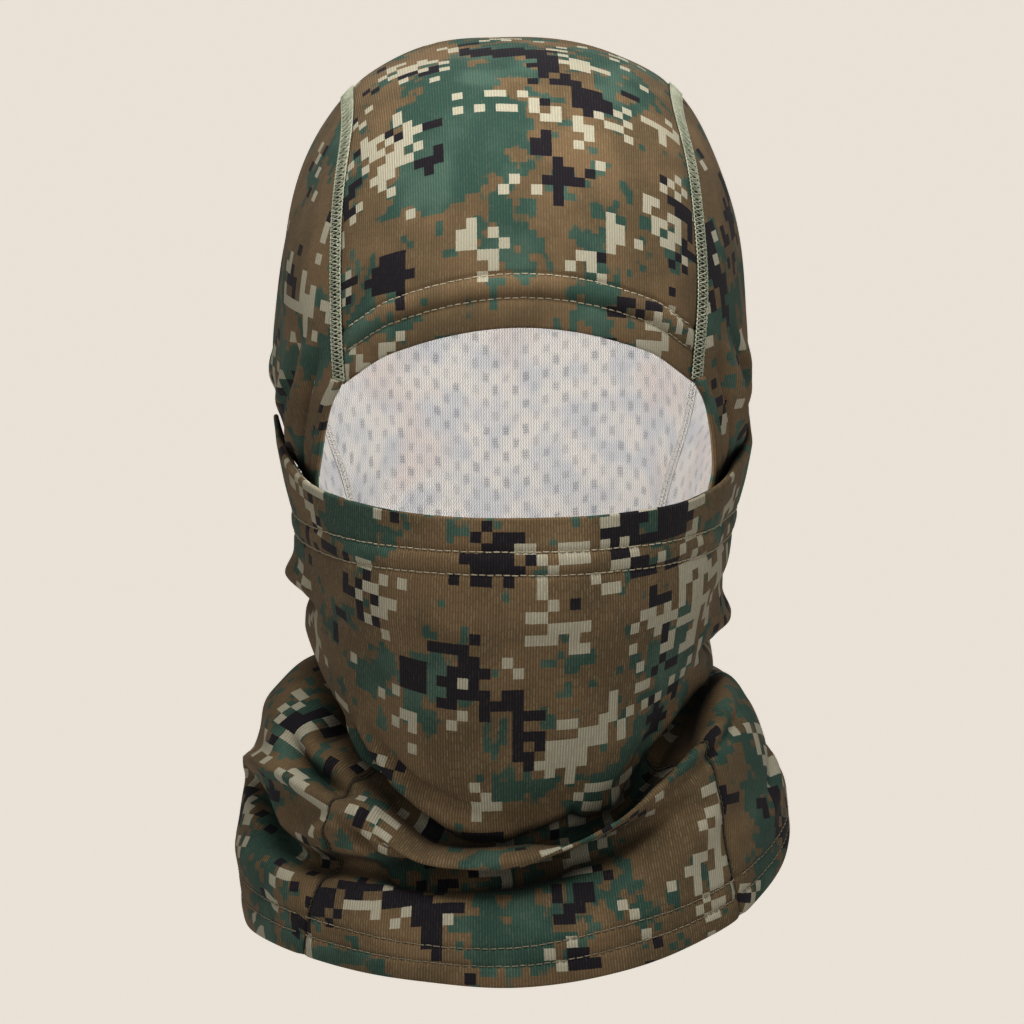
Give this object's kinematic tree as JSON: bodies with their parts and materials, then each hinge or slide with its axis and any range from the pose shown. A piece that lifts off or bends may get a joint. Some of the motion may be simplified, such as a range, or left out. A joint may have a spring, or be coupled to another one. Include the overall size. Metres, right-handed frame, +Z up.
{
  "type": "knitted camouflage balaclava face mask",
  "caption": "Knitted full-head face mask with a wide eye opening, a hemmed face cover that draws down off the nose, and a loose neck cape.",
  "frame": {"origin": "centre of the wearer's head at ear level, midway between the ears", "axes": "+Z up, -Y the way the wearer looks, +X towards the wearer's left ear"},
  "size_m": [0.207, 0.2149, 0.3397],
  "materials": {
    "camo_knit": "matte printed polyester mesh knit, brown, green, near-black and beige pixel camouflage outside, off-white inside",
    "stitch_thread": "light tan polyester topstitching thread",
    "flatlock_thread": "sage green textured polyester thread, matte",
    "elastic_tape": "matte off-white woven elastic"
  },
  "bodies": {
    "hood": {"crown_panel": "camo_knit", "left_side_panel": "camo_knit", "right_side_panel": "camo_knit", "front_cape_panel": "camo_knit", "face_cover_panel": "camo_knit", "brow_hem_facing": "camo_knit", "brow_elastic": "elastic_tape", "left_opening_facing": "camo_knit", "right_opening_facing": "camo_knit", "front_hem_facing": "camo_knit", "back_hem_facing": "camo_knit", "left_flatlock_seam": "flatlock_thread", "right_flatlock_seam": "flatlock_thread", "left_flatlock_looper": "flatlock_thread", "right_flatlock_looper": "flatlock_thread", "left_cover_side_seam": "stitch_thread", "right_cover_side_seam": "stitch_thread", "left_cape_seam": "stitch_thread", "right_cape_seam": "stitch_thread", "brow_lower_stitch_row": "stitch_thread", "brow_upper_stitch_row": "stitch_thread", "front_hem_lower_stitch_row": "stitch_thread", "front_hem_upper_stitch_row": "stitch_thread", "back_hem_lower_stitch_row": "stitch_thread", "back_hem_upper_stitch_row": "stitch_thread"},
    "face_cover": {"face_cover_band": "camo_knit", "face_cover_hem_facing": "camo_knit", "face_cover_upper_stitch_row": "stitch_thread", "face_cover_lower_stitch_row": "stitch_thread"}
  },
  "joints": [
    {"name": "face_cover_draw_down", "type": "hinge", "parent": "hood", "child": "face_cover", "pos_m": [0, 0, 0], "axis": [1, 0, 0], "range_deg": [0, 30], "deforming": ["face_cover_panel"]}
  ]
}
